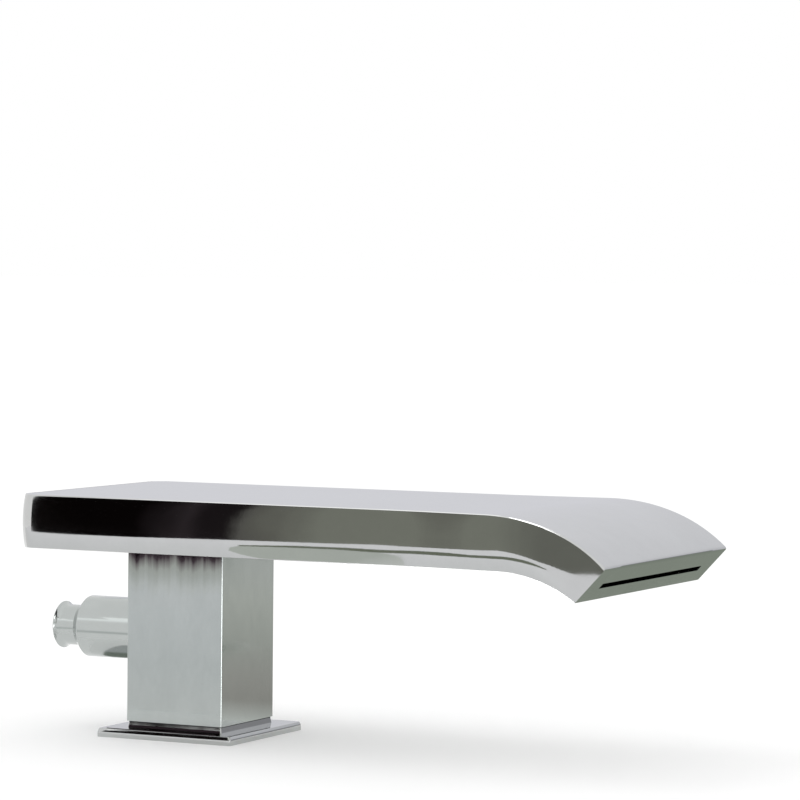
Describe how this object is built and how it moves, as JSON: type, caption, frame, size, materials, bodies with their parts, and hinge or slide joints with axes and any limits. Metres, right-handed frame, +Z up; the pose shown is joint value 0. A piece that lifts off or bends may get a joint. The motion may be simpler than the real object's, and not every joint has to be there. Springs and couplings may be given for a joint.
{
  "type": "waterfall bath spout",
  "caption": "Deck-mounted waterfall bath spout: a wide flat slab that bends down to a slotted outlet, on a square column with a pull-out diverter at the rear.",
  "frame": {"origin": "centre of the base plate's underside, where it rests on the deck", "axes": "+X from the column towards the outlet, +Z up from the deck"},
  "size_m": [0.2463, 0.1138, 0.135],
  "materials": {
    "slab_chrome": "polished chrome plate",
    "column_chrome": "polished chrome plate, slightly satin",
    "knob_chrome": "polished chrome plate, turned",
    "seal_rubber": "moulded black rubber",
    "brass": "machined brass",
    "steel": "stainless steel, turned or drawn"
  },
  "bodies": {
    "spout": {"spout_shell": "slab_chrome", "bottom_plate": "slab_chrome", "column": "column_chrome", "base_plate": "column_chrome", "bonnet": "knob_chrome", "column_seal": "seal_rubber", "base_gasket": "seal_rubber", "rubber_washer": "seal_rubber", "riser_orings": "seal_rubber", "bonnet_oring": "seal_rubber", "stem_orings": "seal_rubber", "valve_body": "brass", "riser_nipple": "brass", "gland_bush": "brass", "spout_seat": "brass", "shower_seat": "brass", "shank": "brass", "lock_nut": "brass", "flow_baffle": "brass", "spout_grub_screws": "steel", "return_spring": "steel", "steel_washer": "steel"},
    "diverter": {"pull_knob": "knob_chrome", "diverter_stem": "steel", "backing_washer": "brass", "valve_disc": "seal_rubber", "disc_nut": "brass"}
  },
  "joints": [
    {"name": "diverter_pull", "type": "slide", "parent": "spout", "child": "diverter", "axis": [-1, 0, 0], "range_m": [0, 0.006], "stiffness_N_per_m": 800, "springref_m": -0.002, "deforming": ["return_spring"]}
  ]
}
